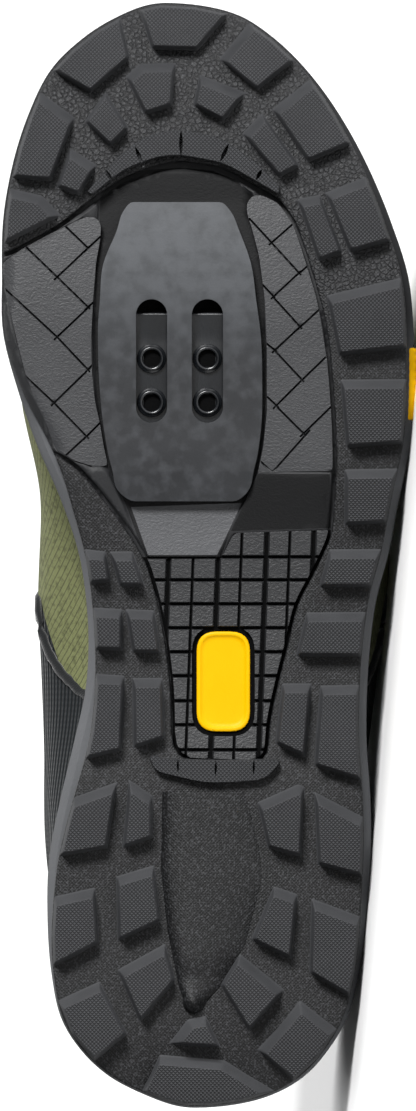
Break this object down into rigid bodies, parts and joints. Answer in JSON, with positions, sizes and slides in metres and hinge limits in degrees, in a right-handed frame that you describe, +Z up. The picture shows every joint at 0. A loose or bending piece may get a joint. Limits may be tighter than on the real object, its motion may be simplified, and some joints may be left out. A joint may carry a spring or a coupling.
{
  "type": "cycling shoe",
  "caption": "Left off-road cycling shoe lying on its outer side, with a lugged rubber sole, a slotted cleat pad and a laced textile upper.",
  "frame": {"origin": "centre of the bounding box at its bottom, on the floor that the shoe lies on", "axes": "+X from heel to toe, -Y out of the sole, +Z up from the floor, the inner side of the foot uppermost"},
  "size_m": [0.2768, 0.1198, 0.1065],
  "materials": {
    "rubber": "moulded, fine grain",
    "plate": "grained",
    "pad": "satin",
    "steel": "black, glossy",
    "yellow": "plain",
    "foam": "matt foam",
    "textile": "woven, green in front and black behind",
    "counter": "coated, black",
    "lining": "knitted, black",
    "lace": "braided, black"
  },
  "bodies": {
    "root": {"outsole": "rubber", "pocket_plate": "plate", "cleat_pad": "pad", "cleat_nut_plate": "steel", "sole_inlay": "yellow", "side_inlay": "yellow", "midsole": "foam", "upper": "textile", "toe_cap": "rubber", "heel_counter": "counter", "eyestay": "counter", "tongue": "lining", "insole": "lining", "lace_crossings": "lace", "eyelet_inner_1": "steel", "eyelet_outer_1": "steel", "eyelet_inner_2": "steel", "eyelet_outer_2": "steel", "eyelet_inner_3": "steel", "eyelet_outer_3": "steel", "eyelet_inner_4": "steel", "eyelet_outer_4": "steel", "eyelet_inner_5": "steel", "eyelet_outer_5": "steel"}
  },
  "joints": []
}
